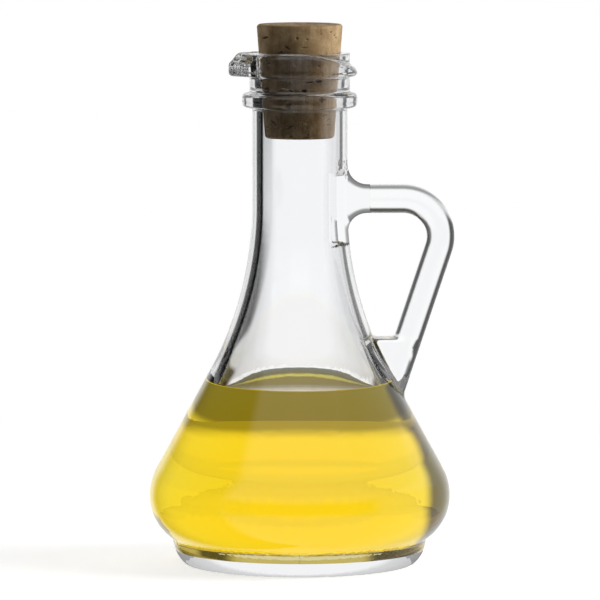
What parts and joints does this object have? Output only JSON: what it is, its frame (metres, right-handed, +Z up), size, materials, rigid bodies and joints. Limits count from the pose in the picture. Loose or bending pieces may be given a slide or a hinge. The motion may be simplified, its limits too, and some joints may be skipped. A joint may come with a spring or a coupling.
{
  "type": "oil cruet",
  "caption": "Glass oil bottle with a wide belly, slim neck, collar ring, pouring lip, fused side handle, tapered cork and an oil filling.",
  "frame": {"origin": "on the vessel's axis, in the plane of the surface that the foot stands on", "axes": "+Z up along the vessel's axis, -X towards the pouring spout, +X towards the handle, which lies in the plane y = 0"},
  "size_m": [0.0903, 0.0892, 0.16],
  "materials": {
    "glass": "polished",
    "cork": "matte",
    "oil": "gloss"
  },
  "bodies": {
    "bottle": {"glass_bottle": "glass", "handle": "glass", "oil_fill": "oil"},
    "cork": {"cork_stopper": "cork"}
  },
  "joints": [
    {"name": "cork_pull", "type": "slide", "parent": "bottle", "child": "cork", "axis": [0, 0, 1], "range_m": [0, 0.04]}
  ]
}
